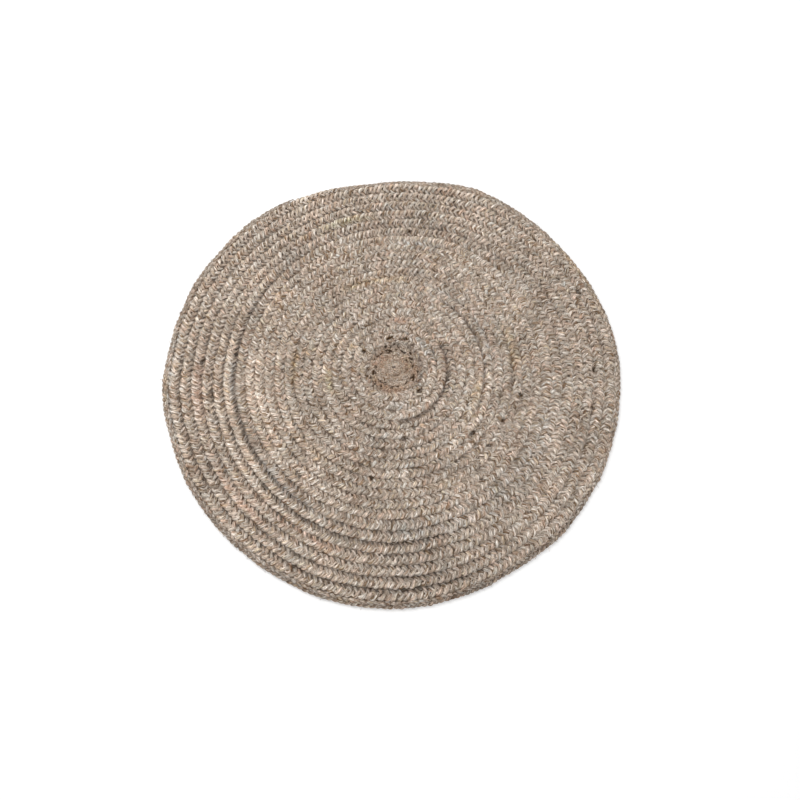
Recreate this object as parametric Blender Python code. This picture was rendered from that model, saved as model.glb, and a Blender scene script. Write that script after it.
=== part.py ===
# A round rug: one flat braid wound round itself from the middle to the rim, lying flat.
# The rug is one closed solid. Every turn of the braid is raised as a rib with two rows of lobes and a shallow
# valley between them, and the turns meet in a groove. Seen from above the braid runs outwards clockwise.
# Units are metres and degrees. Azimuths are counted anticlockwise from +X, seen from above.

import math
from collections import namedtuple

import bmesh
import bpy

# Plan
RUG_RADIUS = 0.500           # from the middle to the rim
RIM_WIDTH = 0.0100           # what shows from above of the last turn, which rounds over the rim
Zone = namedtuple("Zone", "pitch turns")     # width of a turn, and how many turns have it
ZONES = (Zone(0.0233, 7), Zone(0.0209, 13), Zone(0.0115, 5))   # from the rim to the thin first turns
END_AZIMUTH = 117.0          # where the braid's outer end is sewn down
STEP_AZIMUTH = 62.0          # the turns run as rings, and step inwards by one width from here
STEP_SPAN = 85.0             # over this many degrees
MIDDLE_OFFSET = (0.003, 0.012)   # the first turns lie a little off the rug's centre
OFFSET_FADE = 3              # power with which that offset fades towards the rim

# The rim draws in before the outer end, and comes out again with it
NOTCH_AZIMUTH = 96.0
NOTCH_BEFORE = 28.0          # degrees over which it draws in
NOTCH_AFTER = 36.0           # degrees over which it comes out
NOTCH_DEPTH = 0.0180

# Section
RIM_HEIGHT = 0.0045          # height of the widest line of the rim
RIM_UNDERCUT = 0.0030        # how far the rim rounds in below, down to the floor
FULL_WIDTH = 0.0080          # a turn narrower than this is lower, as at the tapered end
Row = namedtuple("Row", "share height")      # share of the turn's width, height above the floor
SECTION = (
    Row(0.00, 0.0062),       # groove, with the lacing
    Row(0.27, 0.0090),       # outer row of lobes
    Row(0.50, 0.0081),       # valley along the middle of the braid
    Row(0.73, 0.0090),       # inner row of lobes
)

# Where the rim bulges (+) or draws in (-), fading towards the middle
Bulge = namedtuple("Bulge", "azimuth half_width out")
BULGES = (
    Bulge(8.0, 24.0, 0.0050),
    Bulge(66.0, 14.0, 0.0040),
    Bulge(186.0, 16.0, 0.0050),
    Bulge(262.0, 30.0, 0.0040),
    Bulge(300.0, 16.0, -0.0030),
)

# Where turns stand proud (+) or lie low (-), as a ridge or trough along part of a ring
Swell = namedtuple("Swell", "radius start end half_width rise")
SWELLS = (
    Swell(0.362, 145.0, 252.0, 0.014, 0.0030),    # a proud turn on the left
    Swell(0.350, 150.0, 225.0, 0.009, -0.0015),   # and the low line inside it
    Swell(0.374, 250.0, 281.0, 0.009, -0.0015),
    Swell(0.332, 60.0, 128.0, 0.012, 0.0016),
    Swell(0.203, -42.0, 66.0, 0.009, -0.0014),
    Swell(0.126, -105.0, 42.0, 0.009, -0.0014),
    Swell(0.290, 10.0, 120.0, 0.060, 0.0012),     # broad waves
    Swell(0.440, 200.0, 330.0, 0.050, 0.0010),
    Swell(0.057, 0.0, 360.0, 0.010, -0.0014),     # the knot of first turns is drawn tight
)
SWELL_FADE = 14.0            # degrees over which a ridge or trough rises at its ends
MIDDLE_HEIGHT = 0.0078       # height of the very middle, where the braid begins

# Mesh
SEGMENTS = 88                # points round a turn at the rim
Band = namedtuple("Band", "first_turn step")      # further in, every second or fourth point does
BANDS = (Band(16, 4), Band(9, 2), Band(0, 1))
MIDDLE_RADIUS = 0.0020       # points nearer the middle than this are one

ROWS = len(SECTION)
TURNS = 1 + sum(zone.turns for zone in ZONES)


def hump(distance, half_width):
    """1 on the line, falling smoothly to 0 at half_width from it."""
    share = min(abs(distance) / half_width, 1.0)
    return 0.5 + 0.5 * math.cos(math.pi * share)


def turned(angle):
    """The angle brought into -180 to 180 degrees."""
    return (angle + 180.0) % 360.0 - 180.0


def step_in(azimuth):
    """Turns that the braid has stepped in at an azimuth from END_AZIMUTH to END_AZIMUTH + 360."""
    past = azimuth - STEP_AZIMUTH
    whole = 0 if past < 360.0 else 1
    share = min((past - 360.0 * whole) / STEP_SPAN, 1.0)
    return whole - 1 + math.sin(math.radians(90.0 * share))


def ring_radius(turns):
    """Radius of the line that lies this many turns in, where the first turn is taken as full width."""
    radius = RUG_RADIUS - RIM_WIDTH
    left = turns - 1.0
    for zone in ZONES:
        step = min(left, zone.turns)
        radius -= zone.pitch * step
        left -= step
    return radius


def outline_radius(azimuth):
    """Radius of the rim, without its bulges."""
    past = turned(azimuth - NOTCH_AZIMUTH)
    return RUG_RADIUS - NOTCH_DEPTH * hump(past, NOTCH_BEFORE if past < 0.0 else NOTCH_AFTER)


def lane(turn, azimuth):
    """Outer and inner radius of a turn of the braid."""
    rim = outline_radius(azimuth)
    turns = turn + step_in(azimuth)
    outer = rim if turn == 0 else min(ring_radius(turns), rim)
    return outer, min(ring_radius(turns + 1.0), rim)


def swell_height(radius, azimuth):
    """How much the turns stand proud, or lie low, at a place."""
    height = 0.0
    for swell in SWELLS:
        middle = 0.5 * (swell.start + swell.end)
        beyond = abs(turned(azimuth - middle)) - 0.5 * (swell.end - swell.start)
        full_ring = swell.end - swell.start >= 360.0
        along = 1.0 if full_ring else hump(max(beyond + SWELL_FADE, 0.0), SWELL_FADE)
        height += swell.rise * along * hump(radius - swell.radius, swell.half_width)
    return height


def place(radius, azimuth, height):
    """The point at a radius and azimuth, with the rim's bulges and the middle's offset."""
    outward = sum(b.out * hump(turned(azimuth - b.azimuth), b.half_width) for b in BULGES)
    share = radius / RUG_RADIUS
    reach = radius + outward * share ** 2
    shift = (1.0 - share) ** OFFSET_FADE
    angle = math.radians(azimuth)
    return (
        reach * math.cos(angle) + MIDDLE_OFFSET[0] * shift,
        reach * math.sin(angle) + MIDDLE_OFFSET[1] * shift,
        height,
    )


def surface_point(segment, row):
    """A point of the rug's top, or None in the very middle. Rows are lines counted inwards, ROWS of them to a turn."""
    azimuth = END_AZIMUTH + 360.0 * segment / SEGMENTS
    turn, line = divmod(row, ROWS)
    outer, inner = lane(turn, azimuth)
    radius = outer + (inner - outer) * SECTION[line].share
    if radius < MIDDLE_RADIUS:
        return None
    if row == 0:
        return place(radius, azimuth, RIM_HEIGHT)
    fullness = min((outer - inner) / FULL_WIDTH, 1.0)
    height = RIM_HEIGHT + (SECTION[line].height - RIM_HEIGHT) * fullness
    return place(radius, azimuth, height + swell_height(radius, azimuth))


class RugMesh:
    """The rug's points, made as its faces ask for them. Segment SEGMENTS of a row is the row one turn further in."""

    def __init__(self):
        self.mesh = bmesh.new()
        self.middle = self.mesh.verts.new(place(0.0, 0.0, MIDDLE_HEIGHT))
        self.points = {}

    def point(self, segment, row):
        if segment == SEGMENTS:
            segment, row = 0, row + ROWS
        if segment == 0:
            row = max(row, ROWS)      # the braid's outer end is one point
        if (segment, row) not in self.points:
            at = surface_point(segment, row)
            self.points[segment, row] = self.middle if at is None else self.mesh.verts.new(at)
        return self.points[segment, row]

    def face(self, corners):
        """A face from its corners, without those that fall together."""
        kept = []
        for corner in corners:
            if corner not in kept:
                kept.append(corner)
        if len(kept) > 2:
            self.mesh.faces.new(kept)


def row_step(row):
    """How many segments apart a row's points lie."""
    return next(band.step for band in BANDS if row >= band.first_turn * ROWS)


def add_top(rug):
    """The ribbed top: faces between each row of points and the next one in."""
    last_row = math.ceil((TURNS + 1) * ROWS)
    for row in range(last_row):
        outer_step, inner_step = row_step(row), row_step(row + 1)
        for start in range(0, SEGMENTS, inner_step):
            end = start + inner_step
            outer = [rug.point(segment, row) for segment in range(start, end + 1, outer_step)]
            inner = [rug.point(end, row + 1), rug.point(start, row + 1)]
            rug.face(outer + inner)


def add_edge_and_underside(rug):
    """The rounded-in edge below the rim, and the flat underside."""
    rim = [rug.point(segment, 0) for segment in range(SEGMENTS)]
    under = []
    for corner in rim:
        x, y, _ = corner.co
        inward = 1.0 - RIM_UNDERCUT / math.hypot(x, y)
        under.append(rug.mesh.verts.new((x * inward, y * inward, 0.0)))
    for here in range(SEGMENTS):
        after = (here + 1) % SEGMENTS
        rug.face([rim[after], rim[here], under[here], under[after]])
    rug.face(list(reversed(under)))


def centre_on_origin(mesh):
    """Put the middle of the rug's box, on the floor, at the origin."""
    xs = [v.co.x for v in mesh.verts]
    ys = [v.co.y for v in mesh.verts]
    shift = (-0.5 * (min(xs) + max(xs)), -0.5 * (min(ys) + max(ys)), 0.0)
    bmesh.ops.translate(mesh, verts=mesh.verts, vec=shift)


def jute_material():
    material = bpy.data.materials.new("jute")
    material.use_nodes = True
    shader = material.node_tree.nodes["Principled BSDF"]
    shader.inputs["Base Color"].default_value = (0.36, 0.29, 0.23, 1.0)
    shader.inputs["Roughness"].default_value = 0.9
    shader.inputs["Metallic"].default_value = 0.0
    return material


def build_rug():
    rug = RugMesh()
    add_top(rug)
    add_edge_and_underside(rug)
    bmesh.ops.recalc_face_normals(rug.mesh, faces=rug.mesh.faces)
    centre_on_origin(rug.mesh)
    data = bpy.data.meshes.new("rug")
    rug.mesh.to_mesh(data)
    rug.mesh.free()
    data.shade_smooth()
    data.set_sharp_from_angle(angle=math.radians(60.0))
    data.materials.append(jute_material())
    bpy.context.scene.collection.objects.link(bpy.data.objects.new("rug", data))


for old in list(bpy.data.objects):
    bpy.data.objects.remove(old, do_unlink=True)
build_rug()
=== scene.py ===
# A round jute rug on a pale floor: one flat braid of three strands, wound round itself from the middle out.
# The strands are swept along the braid's own path by Geometry Nodes, over a core that fills the grooves.
# Metres and degrees. Azimuths run anticlockwise from +X, seen from above.
import math

import bpy
import numpy as np
from mathutils import Euler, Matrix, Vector


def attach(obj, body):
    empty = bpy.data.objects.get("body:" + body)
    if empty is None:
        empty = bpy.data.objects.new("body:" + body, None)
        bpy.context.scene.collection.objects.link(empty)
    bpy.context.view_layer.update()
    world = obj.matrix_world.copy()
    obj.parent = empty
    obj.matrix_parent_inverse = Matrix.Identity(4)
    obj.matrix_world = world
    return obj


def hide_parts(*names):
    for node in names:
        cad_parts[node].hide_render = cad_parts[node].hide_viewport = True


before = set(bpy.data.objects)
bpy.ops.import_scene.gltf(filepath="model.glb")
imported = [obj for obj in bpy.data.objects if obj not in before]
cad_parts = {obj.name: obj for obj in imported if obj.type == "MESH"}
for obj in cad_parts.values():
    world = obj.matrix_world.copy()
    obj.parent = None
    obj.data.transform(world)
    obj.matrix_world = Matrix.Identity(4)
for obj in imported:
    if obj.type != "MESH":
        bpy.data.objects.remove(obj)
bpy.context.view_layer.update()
scene = bpy.context.scene

# The plan of the rug, the same as the model's but for its thinnest turns in the middle
plan = {
    "radius": 0.500,
    "rimWidth": 0.0100,  # of the last turn, seen from above
    "zones": [(0.0233, 7), (0.0209, 13), (0.0115, 3), (0.0078, 3)],  # width of a turn, turns that have it
    "endAzimuth": 117.0,  # the braid's outer end
    "stepAzimuth": 62.0,  # the turns step inwards from here
    "stepSpan": 85.0,  # over this many degrees
    "notch": (96.0, 28.0, 36.0, 0.0180),  # azimuth, degrees before, degrees after, depth
    "middleOffset": (0.003, 0.012),  # of the first turns from the rug's centre
    "offsetFade": 3,  # power with which that fades towards the rim
    "outlinePoints": 88,
    "topHeight": 0.0090,
    "middleHeight": 0.0082,
    "swellFade": 14.0,  # degrees over which a swell, or an arc of colour, rises at its ends
}
# azimuth, half width, how far out
rimBulges = [
    (8.0, 24.0, 0.0050),
    (66.0, 14.0, 0.0040),
    (186.0, 16.0, 0.0050),
    (262.0, 30.0, 0.0040),
    (300.0, 16.0, -0.0030),
]
# radius, start, end, half width, rise
swells = [
    (0.362, 145.0, 252.0, 0.014, 0.0030),
    (0.350, 150.0, 225.0, 0.009, -0.0015),
    (0.374, 250.0, 281.0, 0.009, -0.0015),
    (0.332, 60.0, 128.0, 0.012, 0.0016),
    (0.203, -42.0, 66.0, 0.009, -0.0014),
    (0.126, -105.0, 42.0, 0.009, -0.0014),
    (0.290, 10.0, 120.0, 0.060, 0.0012),
    (0.440, 200.0, 330.0, 0.050, 0.0010),
    (0.057, 0.0, 360.0, 0.010, -0.0014),
]
turnCount = 1 + sum(turns for _, turns in plan["zones"])


def hump(distance, halfWidth):
    return 0.5 + 0.5 * np.cos(math.pi * np.minimum(np.abs(distance) / halfWidth, 1.0))


def turned(angle):
    return (angle + 180.0) % 360.0 - 180.0


def stepIn(azimuth):
    past = azimuth - plan["stepAzimuth"]
    whole = np.where(past < 360.0, 0.0, 1.0)
    share = np.minimum((past - 360.0 * whole) / plan["stepSpan"], 1.0)
    return whole - 1.0 + np.sin(np.radians(90.0 * share))


def ringRadius(turns):
    radius = plan["radius"] - plan["rimWidth"]
    left = turns - 1.0
    for pitch, count in plan["zones"]:
        step = np.minimum(left, count)
        radius = radius - pitch * step
        left = left - step
    return radius


def outlineAt(azimuth):
    middle, before, after, depth = plan["notch"]
    past = turned(azimuth - middle)
    return plan["radius"] - depth * hump(past, np.where(past < 0.0, before, after))


def laneEdges(turn, azimuth):
    # outer and inner radius of a turn; azimuth from endAzimuth to one turn more
    rim = outlineAt(azimuth)
    turns = turn + stepIn(azimuth)
    outer = np.where(turn == 0, rim, np.minimum(ringRadius(turns), rim))
    return outer, np.minimum(ringRadius(turns + 1.0), rim)


def alongArc(azimuth, start, end, fade):
    beyond = np.abs(turned(azimuth - 0.5 * (start + end))) - 0.5 * (end - start)
    if end - start >= 360.0:
        return np.ones_like(azimuth)
    return hump(np.maximum(beyond + fade, 0.0), fade)


def swellHeight(radius, azimuth):
    height = np.zeros_like(radius)
    for ring, start, end, halfWidth, rise in swells:
        height += rise * alongArc(azimuth, start, end, plan["swellFade"]) * hump(radius - ring, halfWidth)
    return height


def bulgeAt(azimuth):
    return sum(out * hump(turned(azimuth - middle), half) for middle, half, out in rimBulges)


def placeOnPlan(radius, azimuth):
    share = radius / plan["radius"]
    reach = radius + bulgeAt(azimuth) * share ** 2
    shift = (1.0 - share) ** plan["offsetFade"]
    angle = np.radians(azimuth)
    offset = plan["middleOffset"]
    return reach * np.cos(angle) + offset[0] * shift, reach * np.sin(angle) + offset[1] * shift


outlineAzimuths = plan["endAzimuth"] + 360.0 * np.arange(plan["outlinePoints"]) / plan["outlinePoints"]
outlineX, outlineY = placeOnPlan(outlineAt(outlineAzimuths), outlineAzimuths)
planShift = (-0.5 * (outlineX.min() + outlineX.max()), -0.5 * (outlineY.min() + outlineY.max()))


def rugPoint(radius, azimuth):
    x, y = placeOnPlan(radius, azimuth)
    return x + planShift[0], y + planShift[1]


def planPlace(x, y):
    # radius and azimuth on the plan of points of the finished rug
    x, y = x - planShift[0], y - planShift[1]
    offset = plan["middleOffset"]
    radius = np.hypot(x, y)
    for _ in range(4):
        shift = (1.0 - np.minimum(radius / plan["radius"], 1.0)) ** plan["offsetFade"]
        fromX, fromY = x - offset[0] * shift, y - offset[1] * shift
        azimuth = np.degrees(np.arctan2(fromY, fromX))
        radius = np.hypot(fromX, fromY) - bulgeAt(azimuth) * (radius / plan["radius"]) ** 2
    return radius, azimuth


def addToScene(name, data):
    thing = bpy.data.objects.new(name, data)
    scene.collection.objects.link(thing)
    return thing


# Camera: the photo's viewpoint, fitted to the rings
view = {
    "fromRingCentre": (-0.0074, -0.5488, 1.5961),
    "turn": (16.949, -0.754, -0.200),
    "lens": 34.16,
}
cameraData = bpy.data.cameras.new("camera")
cameraData.lens = view["lens"]
cameraData.sensor_width = 36.0
camera = addToScene("camera", cameraData)
camera.location = Vector(view["fromRingCentre"]) + Vector((*planShift, 0.0))
camera.rotation_euler = Euler([math.radians(a) for a in view["turn"]])
scene.camera = camera
print("camera at", tuple(camera.location))


class NodeBoard:
    # nodes of one tree, added by type with their values and links
    def __init__(self, tree):
        self.tree = tree

    def add(self, kind, settings=None, **sockets):
        node = self.tree.nodes.new(kind)
        for name, value in (settings or {}).items():
            setattr(node, name, value)
        # in_1 is the second input; other names are the input's own, with _ for a space
        for name, value in sockets.items():
            wanted = name.replace("_", " ")
            if name.startswith("in_"):
                socket = node.inputs[int(name[3:])]
            else:
                socket = next(s for s in node.inputs if s.name == wanted and s.enabled)
            self.feed(socket, value)
        return node

    def out(self, kind, settings=None, **sockets):
        return self.add(kind, settings, **sockets).outputs[0]

    def feed(self, socket, value):
        if isinstance(value, bpy.types.NodeSocket):
            self.tree.links.new(value, socket)
        else:
            socket.default_value = value

    def chain(self, kind, operation, values):
        node = self.add(kind, {"operation": operation})
        for socket, value in zip(node.inputs, values):
            self.feed(socket, value)
        return node.outputs[0]

    def math(self, operation, *values):
        return self.chain("ShaderNodeMath", operation, values)

    def times(self, first, second):
        return self.math("MULTIPLY", first, second)

    def vector(self, operation, *values):
        return self.chain("ShaderNodeVectorMath", operation, values)

    def scaled(self, vector, amount):
        return self.out("ShaderNodeVectorMath", {"operation": "SCALE"}, in_0=vector, in_3=amount)

    def combine(self, x, y, z):
        return self.out("ShaderNodeCombineXYZ", X=x, Y=y, Z=z)

    def upwardPart(self, vector):
        return self.add("ShaderNodeSeparateXYZ", Vector=vector).outputs["Z"]

    def stored(self, label, kind="FLOAT"):
        return self.out("GeometryNodeInputNamedAttribute", {"data_type": kind}, Name=label)

    def store(self, geometry, label, value, kind="FLOAT", domain="POINT"):
        settings = {"data_type": kind, "domain": domain}
        return self.out("GeometryNodeStoreNamedAttribute", settings, in_0=geometry, Name=label, Value=value)

    def drift(self, source, grain, amount):
        # a vector that varies from place to place, up to about twice the amount each way
        noise = self.add("ShaderNodeTexNoise", in_0=source, Scale=grain, Detail=1.0).outputs["Color"]
        noise = self.vector("SUBTRACT", noise, (0.5, 0.5, 0.5))
        return self.scaled(noise, self.times(amount, 4.0))

    def finish(self, geometry, material):
        # shaded smooth, made real and given its material
        smooth = self.out("GeometryNodeSetShadeSmooth", in_0=geometry)
        whole = self.out("GeometryNodeRealizeInstances", in_0=smooth)
        dressed = self.out("GeometryNodeSetMaterial", in_0=whole, Material=material)
        self.add("NodeGroupOutput", in_0=dressed)
        self.arrange()

    def arrange(self, lastColumn=30, across=200.0, down=170.0):
        # a readable layout: each node one column to the right of what feeds it
        column = {node.name: 0 for node in self.tree.nodes}
        for _ in range(lastColumn):
            for link in self.tree.links:
                after = min(column[link.from_node.name] + 1, lastColumn)
                column[link.to_node.name] = max(column[link.to_node.name], after)
        rows = {}
        for node in self.tree.nodes:
            place = column[node.name]
            node.location = (across * place, -down * rows.get(place, 0))
            rows[place] = rows.get(place, 0) + 1


def newGeometryTree(name, inputs):
    # an input's name comes with its default, or with its kind if it has none
    tree = bpy.data.node_groups.new(name, "GeometryNodeTree")
    tree.is_modifier = True
    tree.interface.new_socket("Geometry", in_out="INPUT", socket_type="NodeSocketGeometry")
    tree.interface.new_socket("Geometry", in_out="OUTPUT", socket_type="NodeSocketGeometry")
    for label, value in inputs.items():
        kind = {int: "NodeSocketInt", float: "NodeSocketFloat"}.get(type(value), value)
        socket = tree.interface.new_socket(label, in_out="INPUT", socket_type=kind)
        if kind != value:
            socket.default_value = value
    board = NodeBoard(tree)
    given = board.add("NodeGroupInput").outputs
    return tree, board, given


def runTree(carrier, tree, values):
    # sets the inputs by identifier, evaluates once and returns the plain mesh
    modifier = carrier.modifiers.new(tree.name, "NODES")
    modifier.node_group = tree
    for item in tree.interface.items_tree:
        if item.name in values:
            modifier[item.identifier] = values[item.name]
    evaluated = carrier.evaluated_get(bpy.context.evaluated_depsgraph_get())
    mesh = bpy.data.meshes.new_from_object(evaluated)
    carrier.modifiers.remove(modifier)
    return mesh


def readAll(items, field, kind, width=1):
    values = np.empty(len(items) * width, dtype=kind)
    items.foreach_get(field, values)
    return values


def storeOnPoints(mesh, label, kind, values):
    field = {"FLOAT": "value", "FLOAT_VECTOR": "vector", "FLOAT_COLOR": "color"}[kind]
    values = np.asarray(values, dtype=np.float32).ravel()
    mesh.attributes.new(label, kind, "POINT").data.foreach_set(field, values)


def newPiece(name, mesh):
    mesh.name = name
    mesh.calc_loop_triangles()
    print(name, len(mesh.loop_triangles), "triangles")
    return addToScene(name, mesh)


# The braid's path, from its outer end to the middle
braid = {
    "pathStep": 0.1,  # degrees from point to point, before the path is evened out
    "pointsPerPeriod": 15,  # a strand comes back to the same side after three lobes
    "pitchDrift": 0.12,  # how much longer and shorter the lobes grow along the braid
    "pitchWaves": (0.31, 0.113, 0.7),  # two wave lengths over 2 pi, and where the second starts
    "laneWidth": 0.0209,  # a lane that takes strands of full size
    "strandWidth": 0.0096,
    "strandThickness": 0.0058,
    "rise": 0.0015,  # of a strand over the other two
    "unevenness": 0.0017,
    "wander": 0.0020,  # how far the turns stray from true circles
    "lumps": 0.0010,  # how far the yarns of a strand stand out
    "sides": 8,
    "splitRadius": 0.372,  # the strands are cut here into inner and outer pieces
    "middleRadius": 0.060,  # within this the lobes are as short as the turns are narrow
    "firstRadius": 0.0012,  # where the braid begins in the middle
    "endWidth": 0.0012,  # of the tapered outer end
    "leastSwing": 0.0003,  # of a strand from side to side
    "rimBulk": 0.85,  # strands of the last turn, which leans over the rim
    "rimLean": 26.0,
    "rimSwing": 0.0046,
    "rimInset": 0.0014,
    "rimDrop": 0.0008,
    "rimTightness": 0.6,  # share of the unevenness that they go without
    "rimFade": 50.0,  # degrees over which they come to lie as the other turns do
    "flatterRight": 0.65,  # share of the lean that the right side goes without
    "rightSide": (-85.0, 75.0, 40.0),  # start, end, degrees over which it fades
    "pressedFade": 25.0,
    "edgeDrop": 0.0002,  # how far a braid's edges lie below its middle
    "twistLength": 0.060,  # of the yarn in a strand
    "yarnRadius": 0.0036,  # of the place in the yarn that the material works from
    "yarnStretch": 1.4,  # of that place along the strand
    "seed": 5,
}
# a strand's unevenness: waves to the metre, shares, and how far apart the strands lie in the noise
uneven = {
    "unevenness": 95.0,
    "wander": 11.0,
    "plumpness": 60.0,
    "lumps": (95.0, 420.0, 420.0),
    "plumpShare": 0.7,  # how far plumpness changes a strand's size
    "overShare": 0.08,  # how much fuller a strand is where it lies on top
    "withBulk": (0.75, 0.22),  # unevenness that grows with the strand's size, and that it always has
    "strandApart": 0.37,
    "seedApart": 0.11,
    "yarnApart": 47.3,
}
# Every turn leans inwards, so that its outer row of lobes stands up and the inner row sinks. It presses into
# the next turn by what it fills of its lane beyond 1. Radius, degrees, shift, fill
turnLeans = [
    (0.060, 3.0, 0.0006, 1.20),
    (0.120, 12.0, 0.0026, 1.26),
    (0.300, 12.0, 0.0028, 1.28),
    (0.350, 18.0, 0.0036, 1.28),
    (0.500, 18.0, 0.0036, 1.26),
]
# where the turns are pressed closer and the grooves nearly shut: radius, start, end, half width, extra fill
pressed = [
    (0.380, -85.0, 45.0, 0.110, 0.13),
    (0.290, -60.0, 20.0, 0.050, 0.05),
    (0.372, 95.0, 150.0, 0.040, 0.07),
    (0.250, 45.0, 135.0, 0.070, 0.04),
    (0.330, 240.0, 290.0, 0.170, 0.07),
]
# one lobe of a row to the next: radius, pitch
lobePitches = [
    (0.060, 0.0102), (0.140, 0.0105), (0.290, 0.0112), (0.315, 0.0108), (0.327, 0.0088),
    (0.341, 0.0096), (0.362, 0.0106), (0.385, 0.0110), (0.408, 0.0118), (0.490, 0.0118),
]


def tableAt(radius, table, column):
    return np.interp(radius, [row[0] for row in table], [row[column] for row in table])


def braidPath():
    # points along the braid with what the strands need there, at equal steps of the strands' weave
    lastAngle = plan["endAzimuth"] + 360.0 * (turnCount + 1.0)
    angle = np.arange(plan["endAzimuth"], lastAngle, braid["pathStep"])
    turn = np.floor((angle - plan["endAzimuth"]) / 360.0)
    azimuth = angle - 360.0 * turn
    outer, inner = laneEdges(turn, azimuth)
    radius = 0.5 * (outer + inner)
    keep = (radius > braid["firstRadius"]) & (outer - inner > braid["endWidth"])
    turn, radius, azimuth, outer, inner = (a[keep] for a in (turn, radius, azimuth, outer, inner))
    width = outer - inner
    # how far a place belongs to the last turn, which leans the other way, over the rim
    pastStep = azimuth - plan["stepAzimuth"] - 360.0
    atRim = np.where(turn > 0, 0.0, np.where(pastStep < 0.0, 1.0, hump(pastStep, braid["rimFade"])))
    endTaper = np.where(turn > 0, 1.0, np.minimum(width / plan["rimWidth"], 1.0))
    fullness = np.minimum(width / braid["laneWidth"], 1.0)
    bulk = atRim * braid["rimBulk"] * endTaper + (1.0 - atRim) * fullness
    fill = tableAt(radius, turnLeans, 3)
    for ring, start, end, half, extra in pressed:
        fill = fill + extra * alongArc(azimuth, start, end, braid["pressedFade"]) * hump(radius - ring, half)
    swing = 0.5 * np.maximum(fill * width - braid["strandWidth"] * bulk, braid["leastSwing"])
    swing = atRim * braid["rimSwing"] * endTaper + (1.0 - atRim) * swing
    toMiddle = hump(radius, braid["middleRadius"])
    leaning = 1.0 - braid["flatterRight"] * alongArc(azimuth, *braid["rightSide"])
    inwards = (1.0 - atRim) * (1.0 - toMiddle) * leaning
    lean = np.radians(braid["rimLean"] * atRim * endTaper - tableAt(radius, turnLeans, 1) * inwards)
    shift = -braid["rimInset"] * atRim * endTaper - tableAt(radius, turnLeans, 2) * inwards
    x, y = rugPoint(radius + shift, azimuth)
    length = np.concatenate([[0.0], np.cumsum(np.hypot(np.diff(x), np.diff(y)))])
    longWave, shortWave, start = braid["pitchWaves"]
    drift = 1.0 + braid["pitchDrift"] * np.sin(length / longWave) * np.sin(length / shortWave + start)
    narrowing = np.where(radius < braid["middleRadius"], bulk, 1.0)
    lobePitch = tableAt(radius, lobePitches, 1) * narrowing * drift
    phase = np.concatenate([[0.0], np.cumsum(np.diff(length) / lobePitch[1:])]) * 2.0 * math.pi / 3.0
    top = plan["topHeight"] + swellHeight(radius, azimuth)
    top = top + (plan["middleHeight"] - top) * toMiddle
    height = top - (braid["rise"] + 0.5 * braid["strandThickness"]) * bulk - braid["rimDrop"] * atRim
    even = np.arange(0.0, phase[-1], 2.0 * math.pi / braid["pointsPerPeriod"])
    drop = braid["edgeDrop"] * inwards * bulk
    loose = 1.0 - braid["rimTightness"] * atRim
    columns = dict(x=x, y=y, z=height, bulk=bulk, swing=swing, drop=drop, lean=lean, loose=loose,
                   along=length, laneRadius=radius)
    path = {name: np.interp(even, phase, values) for name, values in columns.items()}
    path["phase"] = even
    return path


def guideObject(name, path, keep):
    # the path as a line of edges, with what the strands need at each point
    count = int(keep.sum())
    mesh = bpy.data.meshes.new(name)
    mesh.vertices.add(count)
    mesh.edges.add(count - 1)
    places = np.stack([path["x"][keep], path["y"][keep], path["z"][keep]], axis=1)
    mesh.vertices.foreach_set("co", places.ravel())
    ends = np.stack([np.arange(count - 1), np.arange(1, count)], axis=1)
    mesh.edges.foreach_set("vertices", ends.ravel())
    for label in ("phase", "bulk", "swing", "drop", "lean", "loose", "along", "laneRadius"):
        storeOnPoints(mesh, label, "FLOAT", path[label][keep])
    return addToScene(name, mesh)


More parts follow.
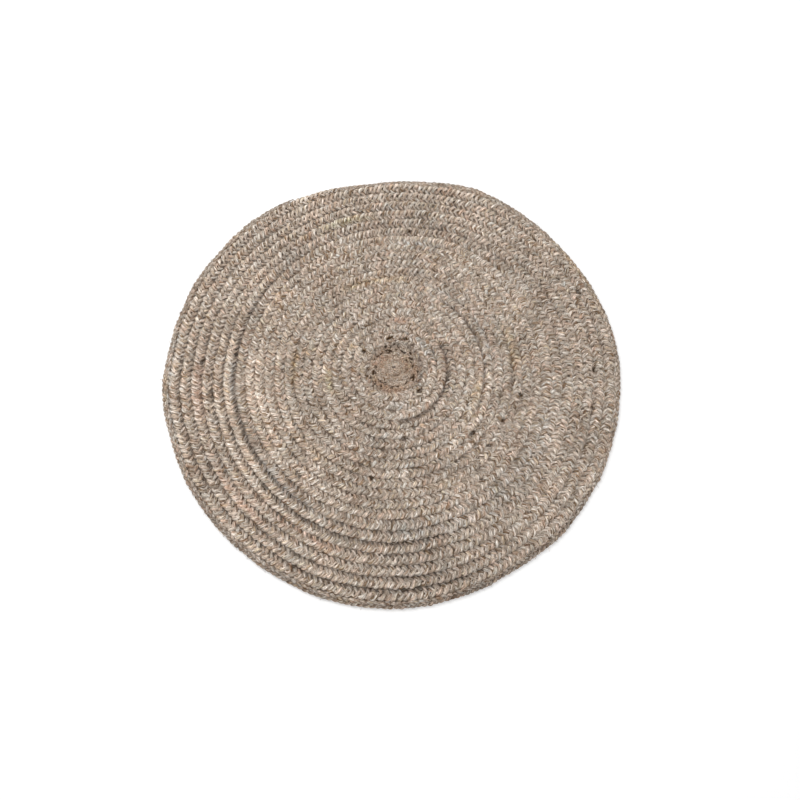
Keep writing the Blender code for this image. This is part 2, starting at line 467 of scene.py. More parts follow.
def strandTree():
    tree, board, given = newGeometryTree("braid strand", {
        "Strand": 0,
        "Strand Width": braid["strandWidth"],
        "Strand Thickness": braid["strandThickness"],
        "Rise": braid["rise"],
        "Unevenness": braid["unevenness"],
        "Wander": braid["wander"],
        "Lumps": braid["lumps"],
        "Twist Length": braid["twistLength"],
        "Sides": braid["sides"],
        "Seed": braid["seed"],
        "Material": "NodeSocketMaterial",
    })
    calc, times, stored = board.math, board.times, board.stored
    line = board.out("GeometryNodeMeshToCurve", in_0=given["Geometry"])
    line = board.out("GeometryNodeSetCurveNormal", {"mode": "Z_UP"}, in_0=line)
    # the strand's way across the braid: from side to side, and over and under
    tangent = board.out("GeometryNodeInputTangent")
    side = board.vector("NORMALIZE", board.vector("CROSS_PRODUCT", tangent, (0.0, 0.0, 1.0)))
    angle = calc("MULTIPLY_ADD", given["Strand"], 2.0 * math.pi / 3.0, stored("phase"))
    over = calc("SINE", times(angle, -2.0))
    lateral = times(calc("SINE", angle), stored("swing"))
    rise = times(times(over, given["Rise"]), stored("bulk"))
    leanSine = calc("SINE", stored("lean"))
    sideways = times(lateral, calc("COSINE", stored("lean")))
    sideways = calc("MULTIPLY_ADD", rise, leanSine, sideways)
    upward = calc("SUBTRACT", rise, times(lateral, leanSine))
    atEdge = calc("POWER", calc("ABSOLUTE", calc("SINE", angle)), 4.0)
    upward = calc("SUBTRACT", upward, times(atEdge, stored("drop")))
    # its unevenness, its own, and the turn's wander, which all three share
    position = board.out("GeometryNodeInputPosition")
    seedShift = times(given["Seed"], uneven["seedApart"])
    seedShift = calc("MULTIPLY_ADD", given["Strand"], uneven["strandApart"], seedShift)
    lifted = board.vector("ADD", position, board.combine(0.0, 0.0, seedShift))
    looseness = calc("MULTIPLY_ADD", stored("bulk"), *uneven["withBulk"])
    looseness = times(looseness, stored("loose"))
    jitter = board.scaled(board.drift(lifted, uneven["unevenness"], given["Unevenness"]), looseness)
    wander = board.drift(position, uneven["wander"], given["Wander"])
    wander = board.vector("MULTIPLY", wander, (1.0, 1.0, 0.0))
    offset = board.vector("ADD", board.scaled(side, sideways), board.combine(0.0, 0.0, upward))
    offset = board.vector("ADD", board.vector("ADD", offset, jitter), wander)
    line = board.out("GeometryNodeSetPosition", in_0=line, Offset=offset)
    lean = times(stored("lean"), -1.0)
    line = board.out("GeometryNodeSetCurveTilt", Curve=line, Tilt=lean)
    # the strand is fuller where it lies on top, and no two lobes are alike
    plump = board.out("ShaderNodeTexNoise", in_0=lifted, Scale=uneven["plumpness"], Detail=1.0)
    plump = calc("MULTIPLY_ADD", calc("SUBTRACT", plump, 0.5), uneven["plumpShare"], 1.0)
    size = times(calc("MULTIPLY_ADD", over, uneven["overShare"], 1.0), stored("bulk"))
    size = times(size, plump)
    ring = board.out("GeometryNodeCurvePrimitiveCircle", Resolution=given["Sides"], Radius=1.0)
    ring = board.store(ring, "around", board.add("GeometryNodeSplineParameter").outputs["Factor"])
    halfWidth = times(given["Strand Width"], 0.5)
    halfThickness = times(given["Strand Thickness"], 0.5)
    flat = board.combine(halfWidth, halfThickness, 1.0)
    ring = board.out("GeometryNodeTransform", in_0=ring, Scale=flat)
    tube = board.out("GeometryNodeCurveToMesh", Curve=line, Profile_Curve=ring, Scale=size, Fill_Caps=True)
    # a place in the yarn: along the strand, and round it with the yarn's twist
    turnedBy = calc("DIVIDE", stored("along"), given["Twist Length"])
    turn = times(calc("ADD", turnedBy, stored("around")), 2.0 * math.pi)
    yarnX = times(stored("along"), braid["yarnStretch"])
    yarnX = calc("MULTIPLY_ADD", given["Strand"], uneven["yarnApart"], yarnX)
    yarnY = times(calc("COSINE", turn), braid["yarnRadius"])
    yarnZ = times(calc("SINE", turn), braid["yarnRadius"])
    yarn = board.combine(yarnX, yarnY, yarnZ)
    tube = board.store(tube, "yarn", yarn, "FLOAT_VECTOR")
    # the yarns of a strand stand out from it here and there
    fine = board.vector("MULTIPLY", yarn, uneven["lumps"])
    lump = board.out("ShaderNodeTexNoise", in_0=fine, Scale=1.0, Detail=0.0)
    lump = times(calc("SUBTRACT", lump, 0.5), times(given["Lumps"], 3.0))
    outward = board.scaled(board.out("GeometryNodeInputNormal"), lump)
    outward = board.scaled(outward, stored("bulk"))
    tube = board.out("GeometryNodeSetPosition", in_0=tube, Offset=outward)
    board.finish(tube, given["Material"])
    return tree


# how a strand's skin is laid out for the baked maps: in rows that fill the square, its two caps beside them
atlas = {
    "lobePitch": 0.0110,  # a usual one
    "slack": 1.2,  # a strand's length to its braid's
    "skinWidth": 0.026,  # round the strand
    "rowStart": 0.004,
    "rowLength": 0.97,
    "rowMargin": 0.06,  # share of a row's width left free on either side
    "capAt": (0.985, 0.3, 0.7),
    "capRadius": 0.004,
}


def packStrand(mesh, sides):
    ringCount = len(mesh.vertices) // sides
    loopVertex = readAll(mesh.loops, "vertex_index", np.int64)
    starts = readAll(mesh.polygons, "loop_start", np.int64)
    totals = readAll(mesh.polygons, "loop_total", np.int64)
    face = np.repeat(np.arange(len(totals)), totals)
    ring, side = loopVertex // sides, loopVertex % sides
    firstRing = np.minimum.reduceat(ring, starts)
    wraps = (np.maximum.reduceat(side, starts) - np.minimum.reduceat(side, starts)) > 1
    side = np.where(wraps[face] & (side == 0), sides, side)
    stripLength = ringCount * 3.0 * atlas["lobePitch"] / braid["pointsPerPeriod"] * atlas["slack"]
    rows = int(round(math.sqrt(stripLength / atlas["skinWidth"])))
    ringsPerRow = math.ceil(ringCount / rows)
    row = firstRing[face] // ringsPerRow
    u = atlas["rowStart"] + atlas["rowLength"] * (ring - row * ringsPerRow) / ringsPerRow
    v = (row + atlas["rowMargin"] + (1.0 - 2.0 * atlas["rowMargin"]) * side / sides) / rows
    capU, firstV, lastV = atlas["capAt"]
    turn = 2.0 * math.pi * side / sides
    cap = totals[face] > 4
    u = np.where(cap, capU + atlas["capRadius"] * np.cos(turn), u)
    v = np.where(cap, np.where(ring == 0, firstV, lastV) + atlas["capRadius"] * np.sin(turn), v)
    layer = mesh.uv_layers.new(name="OFBake")
    layer.data.foreach_set("uv", np.stack([u, v], axis=1).astype(np.float32).ravel())


# What differs from place to place on the rug: casts of colour, and arcs of painted light and painted shade.
# Arcs of each colour: radius in mm, start and end in degrees, half width in mm, strength
tints = {
    # painted light: lighter arcs along the lit ridges and crests of the turns
    "paintedLight": [
        (475, 33, 140, 8, 0.7), (478, 140, 207, 7, 1.2), (455, 112, 200, 7, 0.6), (455, 300, 360, 7, 0.7),
        (430, 87, 162, 7, 0.7), (404, 37, 80, 7, 0.6), (396, 80, 130, 7, 0.7), (385, 130, 250, 8, 1.0),
        (361, 155, 225, 8, 1.0), (340, 55, 82, 8, 0.7), (317, 0, 360, 8, 0.5), (300, 132, 245, 30, 0.6),
        (255, 140, 235, 8, 0.8), (211, 290, 370, 8, 0.8), (187, 200, 235, 8, 0.9),
        (170, 150, 190, 9, 0.8), (75, 195, 240, 10, 1.1), (80, 40, 112, 7, 0.9), (88, -40, 25, 9, 0.8),
        (360, -35, 40, 70, 0.22), (300, 175, 230, 280, 0.25), (4, 0, 360, 15, 2.0),
        (26, 180, 330, 12, 0.4),
    ],
    # painted shade: darker arcs along the troughs and slopes that lie in shade
    "shaded": [
        (467, 0, 28, 7, 0.5), (467, 225, 287, 7, 0.6), (443, 210, 287, 7, 0.6), (443, 300, 372, 7, 0.4),
        (420, 150, 190, 7, 0.4), (397, 0, 50, 7, 0.5), (375, 218, 285, 8, 0.9), (350, 130, 250, 9, 1.1),
        (347, 165, 225, 11, 0.7), (370, -10, 150, 30, 0.35), (322, 85, 112, 8, 0.4),
        (330, 300, 370, 6, 0.4), (262, -20, 30, 8, 0.9), (245, 275, 330, 6, 0.8), (220, 145, 205, 9, 0.7),
        (223, 305, 335, 6, 0.6), (202, -30, 66, 6, 1.1), (182, 120, 155, 7, 0.7), (158, 20, 60, 6, 0.8),
        (155, 270, 330, 8, 0.5), (120, -90, 35, 7, 1.3), (122, 100, 200, 6, 0.4), (62, 0, 70, 7, 1.2),
        (63, 310, 360, 6, 1.0), (430, 262, 315, 160, 0.20), (450, 262, 292, 45, 0.25),
        (430, 255, 330, 120, 0.15), (495, 205, 330, 10, 0.6), (493, 0, 360, 7, 0.25),
        (27, 235, 300, 8, 0.35), (58, 0, 360, 12, 0.35),
    ],
    "brown": [
        (45, 0, 360, 18, 0.6), (30, 95, 185, 10, 0.8), (30, -35, 45, 10, 0.7), (47, -35, 15, 12, 1.0),
        (50, 205, 300, 12, 1.0),
    ],
    "tan": [(22, 0, 360, 16, 0.8)],
    "golden": [
        (270, -5, 28, 22, 1.0), (225, 75, 128, 14, 1.0), (220, 160, 195, 11, 1.5),
        (245, 218, 238, 12, 1.0), (272, 283, 302, 14, 1.0), (190, 330, 360, 14, 0.9),
        (108, 140, 162, 12, 1.2), (50, 195, 220, 10, 1.3), (35, -5, 62, 10, 0.7), (495, 176, 192, 7, 1.3),
        (495, 250, 268, 7, 1.0), (495, 10, 46, 7, 0.8),
    ],
    "rosy": [
        (115, -5, 35, 10, 1.0), (118, 68, 102, 10, 1.0), (425, 168, 200, 20, 0.9),
        (430, 198, 242, 12, 0.8), (400, 222, 264, 12, 0.8), (55, 236, 350, 12, 0.4),
        (40, 118, 178, 12, 0.6), (230, 0, 35, 10, 0.5),
    ],
    "ashen": [
        (410, 80, 103, 14, 1.1), (318, 62, 98, 18, 1.1), (355, 168, 198, 10, 1.1),
        (345, 208, 247, 18, 1.0), (288, 228, 244, 10, 1.2), (220, 0, 72, 10, 0.9),
        (220, 268, 292, 10, 0.9), (88, 10, 92, 12, 1.2), (353, 260, 362, 35, 0.7),
        (86, 258, 302, 12, 1.0), (160, 118, 137, 12, 1.0), (115, 203, 219, 10, 1.0),
        (487, 160, 207, 6, 1.2),
    ],
    "olive": [
        (390, 93, 119, 14, 1.0), (190, 158, 172, 12, 1.0), (145, 173, 208, 12, 1.0),
        (70, 168, 187, 10, 1.2),
    ],
}
tintColours = {
    "rosy": (1.10, 0.95, 0.90),
    "ashen": (0.93, 0.99, 1.05),
    "golden": (1.06, 0.99, 0.83),
    # the painted light and the painted shade
    "paintedLight": (1.20, 1.19, 1.18),
    "shaded": (0.63, 0.62, 0.62),
    "brown": (0.86, 0.76, 0.68),
    "tan": (0.98, 0.88, 0.80),
    "olive": (0.98, 1.03, 0.88),
}
# The casts of colour show in patches, where a lot of yarn comes to the top
castPatches = {
    "colours": ("rosy", "ashen", "golden", "olive"),
    "waves": (270.0, 190.0, 310.0, 230.0),  # radians to the metre
    "bend": 2.0,
    "least": 0.45,
    "most": 1.3,  # above the least
}
# the larger gaps between turns: radius in mm, azimuth, half length in mm
gaps = [
    (420.1, 176.7, 9.5), (466.7, 24.6, 8), (466.7, 276.5, 8), (222.4, 320.5, 6.5), (443.4, 0.8, 5.5),
    (466.7, 177, 6.5), (373.5, 223.8, 6.5), (264.2, 334.8, 5.5), (76.1, 318, 8), (443.4, 208.2, 6),
    (156, 277.9, 5.5), (420.1, 134.4, 5), (243.3, 259.2, 6.5), (285.1, 349.2, 6.5), (470, 113.5, 4.5),
    (443.4, 349.3, 5), (350.2, 173.4, 5), (466.7, 244.5, 4), (373.5, 281.1, 4.2), (350.2, 83.6, 5.2),
    (466.7, 136.3, 4.4), (490, 311.8, 4), (466.7, 180.4, 4), (466.7, 272.6, 5.4), (75, 97, 8.5),
    (75, 73, 12.5), (70, 52, 4.5), (79, 148, 5.5), (62, 197, 5.5), (43.7, 30, 6), (43, 62, 7.5),
    (44, 84, 3.5), (43.7, 106, 8.5), (44.5, 130, 4.5), (48, 154, 3), (47, 192, 7.5), (50, 236, 4.5),
    (43, 281, 3.8), (48, 333, 9), (33, 28, 3), (42, 7, 4.5), (53, 352, 3.5), (40, 176, 3.5),
]
gapShape = {
    "fullLength": 0.006,  # gaps of a half length under this are smaller in all ways
    "push": 0.0020,  # how far the turns give way on either side
    "pushNear": 0.35,  # share of that in the very middle of the rug
    "reach": 0.0060,  # distance over which the push falls
    "besideTurn": 0.024,  # turns whose middle lies further off don't give way
    "halfWidth": 0.0048,
    "widthNear": (0.20, 0.55),  # shares of it in the very middle, by radius and by size
    "narrowing": (0.10, 0.12),  # radii within which those two fall
    "slant": 0.45,
    "slantWave": 7.3,  # tells the slants of the gaps apart
    "depth": 0.0026,
    # painted shade where one looks down into a gap
    "paintedShade": 0.94,
    "bySize": (0.30, 2.4),  # how much of the painted shade, and of its edge's sharpness, comes with a gap's size
    "sharpness": 1.6,  # of the smallest ones' edge
    "smallOnes": 190,
    "smallLength": (0.0018, 0.0036),
    "outerShare": 0.45,  # of the small ones that may lie in any groove, not only an inner one
    "innerGroove": 8,  # the first of those, counted from the rim
    "lastGroove": 20,
    "knotOnes": 30,  # round the knot of the first turns
    "knotRadius": (0.037, 0.062),
    "knotLength": (0.0024, 0.0052),
    "tint": (0.95, 1.0, 1.05),  # of the painted shade in a gap, which is brownish
    "seed": 11,
}
# how much painted shade darkens a turn's edges and painted light brightens its middle: radius, on the right,
# at the top, elsewhere
laneShading = [
    (0.060, 0.00, 0.00, 0.00),
    (0.120, 0.06, 0.04, 0.06),
    (0.320, 0.05, 0.03, 0.06),
    (0.355, 0.02, 0.02, 0.08),
    (0.400, 0.02, 0.02, 0.09),
    (0.460, 0.08, 0.02, 0.11),
    (0.480, 0.09, 0.03, 0.11),
    (0.492, 0.00, 0.00, 0.00),
]
laneShadingArcs = {
    "right": (-75.0, 60.0, 30.0),  # start, end, degrees over which it fades
    "top": (60.0, 110.0, 20.0),
    "tint": (0.96, 1.0, 1.03),
}
# no point of a skin ends up lower than low, or more than highReach over high
skinLimits = {"low": 0.0003, "lowReach": 0.0012, "high": 0.0140, "highReach": 0.0025}


def laneShare(radius, azimuth):
    # 0 to 1 across the turn that a place lies in
    turns = np.arange(0.0, turnCount + 1.0, 0.25)
    counted = np.interp(-radius, -ringRadius(turns), turns)
    fromEnd = (azimuth - plan["endAzimuth"]) % 360.0 + plan["endAzimuth"]
    return (counted - stepIn(fromEnd)) % 1.0


def allGaps():
    chance = np.random.default_rng(gapShape["seed"])
    rows = [(ring / 1000.0, at, halfLength / 1000.0) for ring, at, halfLength in gaps]
    for _ in range(gapShape["smallOnes"]):
        azimuth = chance.uniform(plan["endAzimuth"], plan["endAzimuth"] + 360.0)
        firstGroove = 1 if chance.random() < gapShape["outerShare"] else gapShape["innerGroove"]
        groove = chance.integers(firstGroove, gapShape["lastGroove"]) + float(stepIn(azimuth)) + 1.0
        rows.append((float(ringRadius(groove)), azimuth, chance.uniform(*gapShape["smallLength"])))
    for _ in range(gapShape["knotOnes"]):
        ring = chance.uniform(*gapShape["knotRadius"])
        azimuth = chance.uniform(0.0, 360.0)
        rows.append((ring, azimuth, chance.uniform(*gapShape["knotLength"])))
    return rows


gapRows = allGaps()


def laneShadingAt(radius, azimuth):
    right = alongArc(azimuth, *laneShadingArcs["right"])
    top = alongArc(azimuth, *laneShadingArcs["top"])
    near, above, rest = (tableAt(radius, laneShading, column) for column in (1, 2, 3))
    return rest + (near - rest) * right + (above - rest) * top * (1.0 - right)


def tintAndShadeAt(places, radius, azimuth):
    # painted shade on the edges of each turn and painted light on its middle
    wave = laneShadingAt(radius, azimuth) * np.cos(2.0 * math.pi * laneShare(radius, azimuth))
    tint = np.ones((len(places), 4))
    tint[:, :3] -= wave[:, None] * np.array(laneShadingArcs["tint"])
    first, second, third, fourth = castPatches["waves"]
    x, y = places[:, 0], places[:, 1]
    patches = 0.5 + 0.5 * np.sin(x * first + castPatches["bend"] * np.sin(y * second))
    patches *= 0.5 + 0.5 * np.sin(y * third + castPatches["bend"] * np.sin(x * fourth))
    for colour, arcs in tints.items():
        change = np.array(tintColours[colour]) - 1.0
        for ring, start, end, half, strength in arcs:
            weight = strength * alongArc(azimuth, start, end, plan["swellFade"])
            weight = weight * hump(1000.0 * radius - ring, half)
            if colour in castPatches["colours"]:
                weight = weight * (castPatches["least"] + castPatches["most"] * patches)
            tint[:, :3] *= 1.0 + weight[:, None] * change
    return tint


def pushedApart(radius, azimuth, laneRadius):
    # the radius of each point once the turns beside the gaps have given way
    pushed = radius.copy()
    for ring, at, halfLength in gapRows:
        along = np.radians(turned(azimuth - at)) * ring / halfLength
        size = min(halfLength / gapShape["fullLength"], 1.0)
        size *= min(gapShape["pushNear"] + ring / gapShape["narrowing"][1], 1.0)
        beside = np.abs(laneRadius - ring) < gapShape["besideTurn"]
        opening = np.where(beside, np.maximum(1.0 - along ** 2, 0.0), 0.0)
        fall = np.exp(-np.abs(radius - ring) / gapShape["reach"])
        pushed += np.sign(laneRadius - ring) * gapShape["push"] * size * opening * fall
    return pushed


# sinks the gaps a little and paints shade into them, where one looks down between the turns
def paintShadeInGaps(places, tint, radius, azimuth):
    byRadius, bySize = gapShape["widthNear"]
    radiusSpan, sizeSpan = gapShape["narrowing"]
    darkerInShade, sharper = gapShape["bySize"]
    for ring, at, halfLength in gapRows:
        along = np.radians(turned(azimuth - at)) * ring / halfLength
        size = min(halfLength / gapShape["fullLength"], 1.0) * min(bySize + ring / sizeSpan, 1.0)
        halfWidth = gapShape["halfWidth"] * size * min(byRadius + ring / radiusSpan, 1.0)
        slant = gapShape["slant"] * math.sin(gapShape["slantWave"] * at)
        across = (radius - ring - slant * along * halfLength) / halfWidth
        inside = np.maximum(1.0 - along ** 2 - across ** 2, 0.0)
        places[:, 2] -= gapShape["depth"] * inside
        paintedShade = gapShape["paintedShade"] * (1.0 - darkerInShade + darkerInShade * size)
        paintedShade = paintedShade * np.minimum((gapShape["sharpness"] + sharper * size) * inside, 1.0)
        tint[:, :3] *= 1.0 - paintedShade[:, None] * np.array(gapShape["tint"])


def finishSkin(mesh):
    # opens the gaps, keeps the skin between floor and ceiling and stores each point's tint, with its painted
    # light and painted shade
    places = readAll(mesh.vertices, "co", np.float32, 3).reshape(-1, 3).astype(float)
    radius, azimuth = planPlace(places[:, 0], places[:, 1])
    laneRadius = radius
    if "laneRadius" in mesh.attributes:
        laneRadius = readAll(mesh.attributes["laneRadius"].data, "value", np.float32).astype(float)
    tint = tintAndShadeAt(places, radius, azimuth)
    pushed = pushedApart(radius, azimuth, laneRadius)
    paintShadeInGaps(places, tint, pushed, azimuth)
    moved = np.abs(pushed - radius) > 1e-5
    places[moved, 0], places[moved, 1] = rugPoint(pushed[moved], azimuth[moved])
    lowest, reach = skinLimits["low"], skinLimits["lowReach"]
    low = places[:, 2] < lowest + reach
    places[low, 2] = lowest + reach * np.exp((places[low, 2] - lowest - reach) / reach)
    highest, reach = skinLimits["high"], skinLimits["highReach"]
    high = places[:, 2] > highest
    places[high, 2] = highest + reach - reach * np.exp((highest - places[high, 2]) / reach)
    mesh.vertices.foreach_set("co", places.astype(np.float32).ravel())
    storeOnPoints(mesh, "tint", "FLOAT_COLOR", tint)
    mesh.update()


# The jute
jute = {
    "bark": (0.25, 0.17, 0.105),
    "brown": (0.45, 0.365, 0.295),
    "greige": (0.60, 0.515, 0.438),
    "straw": (0.69, 0.606, 0.525),
    "cream": (0.85, 0.78, 0.712),
    "golden": (1.02, 0.95, 0.80),
    "rosy": (1.06, 0.95, 0.90),
    "ashen": (0.95, 0.99, 1.01),
    "yarnLength": 0.011,  # of a run of one colour in a yarn
    "yarnWidth": 0.0022,
    "roughness": 0.82,
    "specular": 0.25,
    "bump": 0.0010,
    "creaseDepth": 1.3,  # of the creases between yarns in the bump, to the fibres' 1
    "shadeHeights": (0.0035, 0.0115),  # over which the jute grows lighter upwards: painted shade low down, painted light on the crests
}
white = (1.0, 1.0, 1.0)
# where on a ramp each colour comes
juteRamps = {
    "lot": [(0.04, jute["bark"]), (0.12, jute["brown"]), (0.38, jute["greige"]), (0.68, jute["straw"]),
            (0.92, jute["cream"])],
    "hue": [(0.0, jute["golden"]), (0.16, white), (0.30, white), (0.42, jute["rosy"]), (0.54, white),
            (0.80, white), (1.0, jute["ashen"])],
    "lobe": [(0.30, (0.82, 0.81, 0.80)), (0.5, white), (0.70, (1.10, 1.10, 1.09))],
    "fibre": [(0.28, (0.42, 0.39, 0.37)), (0.5, (0.96, 0.96, 0.96)), (0.72, (1.42, 1.41, 1.39))],
    "batch": [(0.30, (1.05, 0.95, 0.90)), (0.5, white), (0.70, (0.95, 0.99, 1.01))],
    "patch": [(0.32, (0.85, 0.84, 0.83)), (0.68, (1.13, 1.13, 1.13))],
    # painted shade in the creases between yarns
    "creaseShade": [(0.30, white), (0.75, (0.60, 0.57, 0.54))],
    # painted shade in the low places and painted light on the crests, by height
    "height": [(0.0, (0.78, 0.73, 0.69)), (0.6, white), (1.0, (1.15, 1.15, 1.14))],
}
# waves to the metre along and across, detail, roughness
juteNoises = {
    "lobe": ((60.0, 90.0, 90.0), 2.0, 0.6),
    "fibre": ((260.0, 800.0, 800.0), 2.0, 0.6),
    "batch": ((9.0, 30.0, 30.0), 1.0, 0.5),
    "patch": ((8.0, 8.0, 8.0), 3.0, 0.60),
}


def juteMaterial(name, darkerInShade=1.0):
    material = bpy.data.materials.new(name)
    material.use_nodes = True
    board = NodeBoard(material.node_tree)
    shader = material.node_tree.nodes["Principled BSDF"]
    yarn = board.add("ShaderNodeAttribute", {"attribute_name": "yarn"}).outputs["Vector"]
    tint = board.add("ShaderNodeAttribute", {"attribute_name": "tint"}).outputs["Color"]
    place = board.add("ShaderNodeTexCoord").outputs["Object"]

    def stretched(source, scales):
        return board.out("ShaderNodeMapping", Vector=source, Scale=scales)

    def noise(label, source):
        scales, detail, roughness = juteNoises[label]
        return board.out("ShaderNodeTexNoise", Vector=stretched(source, scales), Scale=1.0, Detail=detail,
                         Roughness=roughness)

    def ramp(label, value):
        stops = juteRamps[label]
        node = board.add("ShaderNodeValToRGB", Fac=value)
        elements = node.color_ramp.elements
        while len(elements) < len(stops):
            elements.new(0.5)
        for element, (at, colour) in zip(elements, stops):
            element.position = at
            element.color = (*colour, 1.0)
        return node.outputs[0]

    def tinted(colour, factor):
        settings = {"data_type": "RGBA", "blend_type": "MULTIPLY"}
        return board.add("ShaderNodeMix", settings, in_0=1.0, in_6=colour, in_7=factor).outputs[2]

    yarnSize = (1.0 / jute["yarnLength"], 1.0 / jute["yarnWidth"], 1.0 / jute["yarnWidth"])
    yarns = board.add("ShaderNodeTexVoronoi", Vector=stretched(yarn, yarnSize), Scale=1.0)
    lots = board.add("ShaderNodeSeparateColor", Color=yarns.outputs["Color"]).outputs
    fibre = noise("fibre", yarn)
    # painted shade and painted light by height
    low, high = jute["shadeHeights"]
    height = board.upwardPart(place)
    height = board.out("ShaderNodeMapRange", {"clamp": True}, in_0=height, in_1=low, in_2=high)
    factors = [
        ramp("hue", lots[1]),
        ramp("lobe", noise("lobe", yarn)),
        ramp("fibre", fibre),
        ramp("batch", noise("batch", yarn)),
        ramp("patch", noise("patch", place)),
        ramp("creaseShade", yarns.outputs["Distance"]),
        ramp("height", height),
        tint,
        # painted shade, for the core under the strands
        (darkerInShade, darkerInShade, darkerInShade, 1.0),
    ]
    colour = ramp("lot", lots[0])
    for factor in factors:
        colour = tinted(colour, factor)
    board.feed(shader.inputs["Base Color"], colour)
    relief = board.math("MULTIPLY_ADD", yarns.outputs["Distance"], -jute["creaseDepth"], fibre)
    bump = board.out("ShaderNodeBump", Strength=1.0, Distance=jute["bump"], Height=relief)
    board.feed(shader.inputs["Normal"], bump)
    shader.inputs["Roughness"].default_value = jute["roughness"]
    shader.inputs["Specular IOR Level"].default_value = jute["specular"]
    board.arrange()
    return material


# Strands
juteYarn = juteMaterial("jute yarn")
path = braidPath()
print("braid", round(float(path["along"][-1]), 2), "m long,", len(path["x"]), "points")
tree = strandTree()
strands = []
lastOuter = int(np.nonzero(path["laneRadius"] >= braid["splitRadius"])[0].max())
number = np.arange(len(path["laneRadius"]))
for partName, keep in (("outer", number <= lastOuter), ("inner", number >= lastOuter)):
    guide = guideObject("braidGuide", path, keep)
    for strand in range(3):
        mesh = runTree(guide, tree, {"Strand": strand, "Material": juteYarn})
        packStrand(mesh, braid["sides"])
        finishSkin(mesh)
        strands.append(newPiece(f"jute_strand_{strand + 1}_{partName}", mesh))
    bpy.data.objects.remove(guide)

# Loose fibres, lying over the strands and standing out at the rim
fibres = {
    "density": 2500.0,  # to the square metre
    "length": (0.010, 0.024),
    "thickness": (0.00022, 0.00042),
    "lift": 0.0009,  # of a fibre's middle over the strand
    "droop": 0.0016,  # of its ends below its middle
    "tilt": 14.0,  # degrees either way
    "wave": 0.0030,
    "waveGrain": 85.0,  # waves to the metre
    "waveFlatness": (1.0, 1.0, 0.15),
    "segments": 4,
    "facing": 0.5,  # fibres grow only where the strand faces up at least this much
    "colourSpread": (0.3, 0.3, 0.3),  # how fast the yarn's colour changes from fibre to fibre
    "seed": 3,
}


def fibreTree():
    tree, board, given = newGeometryTree("loose fibres", {
        "Strands": "NodeSocketCollection",
        "Density": fibres["density"],
        "Shortest": fibres["length"][0],
        "Longest": fibres["length"][1],
        "Thinnest": fibres["thickness"][0],
        "Thickest": fibres["thickness"][1],
        "Lift": fibres["lift"],
        "Droop": fibres["droop"],
        "Tilt": fibres["tilt"],
        "Wave": fibres["wave"],
        "Segments": fibres["segments"],
        "Seed": fibres["seed"],
        "Material": "NodeSocketMaterial",
    })
    calc, times, stored = board.math, board.times, board.stored

    def chance(low, high, seed):
        node = board.add("FunctionNodeRandomValue", {"data_type": "FLOAT"}, Min=low, Max=high, Seed=seed)
        return node.outputs[1]

    def turnedOn(rotation, by):
        settings = {"rotation_space": "LOCAL"}
        return board.out("FunctionNodeRotateRotation", settings, Rotation=rotation, Rotate_By=by)

    # straight fibres, placed on the strands' upper sides
    settings = {"transform_space": "RELATIVE"}
    skin = board.out("GeometryNodeCollectionInfo", settings, Collection=given["Strands"])
    skin = board.out("GeometryNodeRealizeInstances", in_0=skin)
    upper = board.upwardPart(board.out("GeometryNodeInputNormal"))
    upper = calc("GREATER_THAN", upper, fibres["facing"])
    scatter = board.add("GeometryNodeDistributePointsOnFaces", {"distribute_method": "RANDOM"}, Mesh=skin,
                        Selection=upper, Density=given["Density"], Seed=given["Seed"]).outputs
    line = board.out("GeometryNodeCurvePrimitiveLine", Start=(-0.5, 0.0, 0.0), End=(0.5, 0.0, 0.0))
    count = calc("ADD", given["Segments"], 1.0)
    line = board.out("GeometryNodeResampleCurve", Curve=line, Count=count)
    line = board.store(line, "share", board.add("GeometryNodeSplineParameter").outputs["Factor"])
    spin = board.combine(0.0, 0.0, chance(0.0, 2.0 * math.pi, 1))
    tilt = calc("RADIANS", times(given["Tilt"], chance(-1.0, 1.0, 2)))
    lying = turnedOn(scatter["Rotation"], spin)
    lying = turnedOn(lying, board.combine(0.0, tilt, 0.0))
    size = board.combine(chance(given["Shortest"], given["Longest"], 4), 1.0, 1.0)
    placed = board.out("GeometryNodeInstanceOnPoints", Points=scatter["Points"], Instance=line,
                       Rotation=lying, Scale=size)
    placed = board.store(placed, "facing", scatter["Normal"], "FLOAT_VECTOR", "INSTANCE")
    thickness = chance(given["Thinnest"], given["Thickest"], 6)
    placed = board.store(placed, "thick", thickness, "FLOAT", "INSTANCE")
    lines = board.out("GeometryNodeRealizeInstances", in_0=placed)
    # lifted off the strand in the middle, drooping at the ends and wavy
    fromMiddle = calc("ABSOLUTE", calc("MULTIPLY_ADD", stored("share"), 2.0, -1.0))
    droop = times(calc("POWER", fromMiddle, 2.0), given["Droop"])
    lift = board.scaled(stored("facing", "FLOAT_VECTOR"), calc("SUBTRACT", given["Lift"], droop))
    position = board.out("GeometryNodeInputPosition")
    wave = board.drift(position, fibres["waveGrain"], given["Wave"])
    wave = board.vector("MULTIPLY", wave, fibres["waveFlatness"])
    offset = board.vector("ADD", lift, wave)
    lines = board.out("GeometryNodeSetPosition", in_0=lines, Offset=offset)
    ring = board.out("GeometryNodeCurvePrimitiveCircle", Resolution=3, Radius=1.0)
    hair = board.out("GeometryNodeCurveToMesh", Curve=lines, Profile_Curve=ring, Scale=stored("thick"),
                     Fill_Caps=True)
    position = board.out("GeometryNodeInputPosition")
    position = board.vector("MULTIPLY", position, fibres["colourSpread"])
    hair = board.store(hair, "yarn", position, "FLOAT_VECTOR")
    board.finish(hair, given["Material"])
    return tree


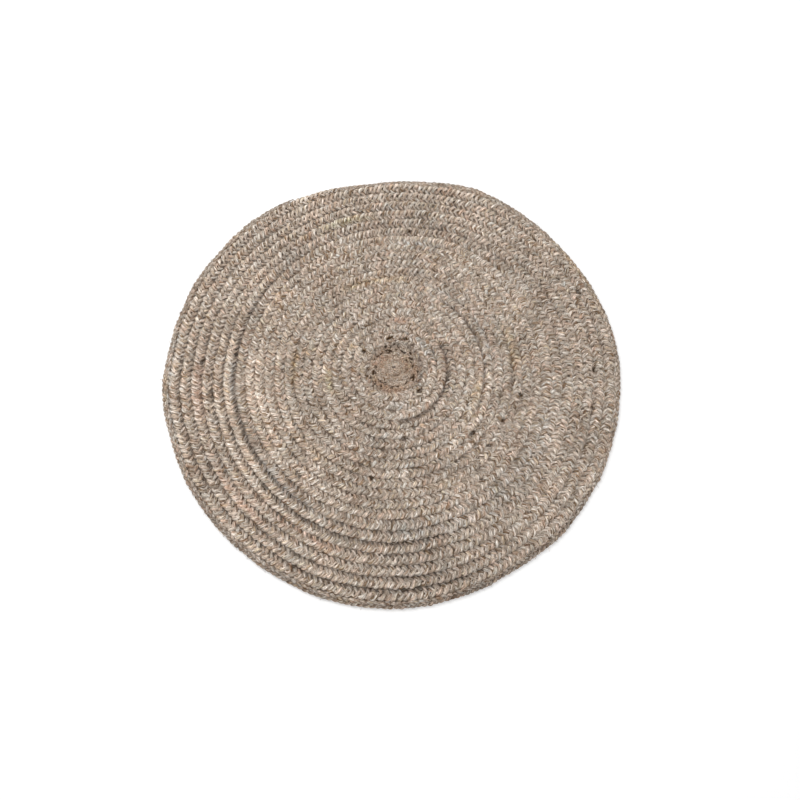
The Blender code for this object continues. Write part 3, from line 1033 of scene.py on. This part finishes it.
strandSet = bpy.data.collections.new("strands")
for piece in strands:
    strandSet.objects.link(piece)
carrier = addToScene("fibreCarrier", bpy.data.meshes.new("fibreCarrier"))
fibreMesh = runTree(carrier, fibreTree(), {"Strands": strandSet, "Material": juteYarn})
bpy.data.objects.remove(carrier)
bpy.data.collections.remove(strandSet)
finishSkin(fibreMesh)
fibrePiece = newPiece("jute_fibres", fibreMesh)

# Core: fills the grooves from below, darkened as painted shade
core = {
    "top": 0.0056,
    "bottom": 0.0016,
    "inset": 0.0080,  # from the rim
    "rings": 24,
    "spokes": 180,
    "yarnSpread": 7.0,  # keeps the colour of one turn apart from the next one's
    # painted shade: the core lies under the strands
    "darkerInShade": 0.40,
}


def coreMesh():
    azimuths = plan["endAzimuth"] + 360.0 * (np.arange(core["spokes"]) + 0.5) / core["spokes"]
    rim = outlineAt(azimuths) - core["inset"]
    shares = np.linspace(1.0, 0.0, core["rings"] + 1)[:-1]
    points, faces = [], []
    for z in (core["top"], core["bottom"]):
        for share in shares:
            x, y = rugPoint(rim * share, azimuths)
            points.extend(zip(x, y, np.full_like(x, z)))
        x, y = rugPoint(np.array([0.0]), np.array([0.0]))
        points.append((x[0], y[0], z))
    count = core["spokes"]
    perSide = core["rings"] * count + 1
    for base in (0, perSide):
        for ring in range(core["rings"]):
            last = ring == core["rings"] - 1
            for spoke in range(count):
                after = (spoke + 1) % count
                a, b = base + ring * count + spoke, base + ring * count + after
                corners = [a, b, base + perSide - 1] if last else [a, b, b + count, a + count]
                faces.append(corners[::-1] if base else corners)
    for spoke in range(count):
        after = (spoke + 1) % count
        faces.append([spoke, perSide + spoke, perSide + after, after])
    mesh = bpy.data.meshes.new("core")
    mesh.from_pydata(points, [], faces)
    mesh.validate()
    # its yarn runs round the rug as the strands' does
    places = np.array(points)
    radius, azimuth = planPlace(places[:, 0], places[:, 1])
    along = radius * core["yarnSpread"] + np.radians(azimuth) * radius
    storeOnPoints(mesh, "yarn", "FLOAT_VECTOR", np.stack([along, radius, places[:, 2]], axis=1))
    return mesh


corePiece = newPiece("jute_core", coreMesh())
finishSkin(corePiece.data)
corePiece.data.materials.append(juteMaterial("jute core", core["darkerInShade"]))

# Floor and light
studio = {
    "floor": (0.95, 0.95, 0.95),
    "floorRoughness": 0.9,
    "glow": 0.10,  # of the floor, which the photo shows as pure white
    "reach": 8.0,
    "keyPower": 40.0,
    "keySize": 1.8,
    "keyAt": (-1.5, 1.5, 2.5),
    "sky": 0.81,
}
reach = studio["reach"]
corners = [(-reach, -reach, 0.0), (reach, -reach, 0.0), (reach, reach, 0.0), (-reach, reach, 0.0)]
floorMesh = bpy.data.meshes.new("floor")
floorMesh.from_pydata(corners, [], [(0, 1, 2, 3)])
floor = newPiece("floor", floorMesh)
floorMaterial = bpy.data.materials.new("pale floor")
floorMaterial.use_nodes = True
floorShader = floorMaterial.node_tree.nodes["Principled BSDF"].inputs
floorShader["Base Color"].default_value = (*studio["floor"], 1.0)
floorShader["Roughness"].default_value = studio["floorRoughness"]
floorShader["Emission Color"].default_value = (1.0, 1.0, 1.0, 1.0)
floorShader["Emission Strength"].default_value = studio["glow"]
floorMesh.materials.append(floorMaterial)
keyData = bpy.data.lights.new("key", "AREA")
keyData.energy = studio["keyPower"]
keyData.size = studio["keySize"]
key = addToScene("key", keyData)
key.location = studio["keyAt"]
key.rotation_euler = (-Vector(studio["keyAt"])).to_track_quat("-Z", "Y").to_euler()
key.visible_camera = False
world = bpy.data.worlds.new("sky")
world.use_nodes = True
background = world.node_tree.nodes["Background"].inputs
background["Color"].default_value = (1.0, 1.0, 1.0, 1.0)
background["Strength"].default_value = studio["sky"]
scene.world = world
scene.view_settings.view_transform = "Standard"
print("stage set")

# The frame
for piece in [corePiece, *strands, fibrePiece]:
    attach(piece, "root")
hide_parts("rug")
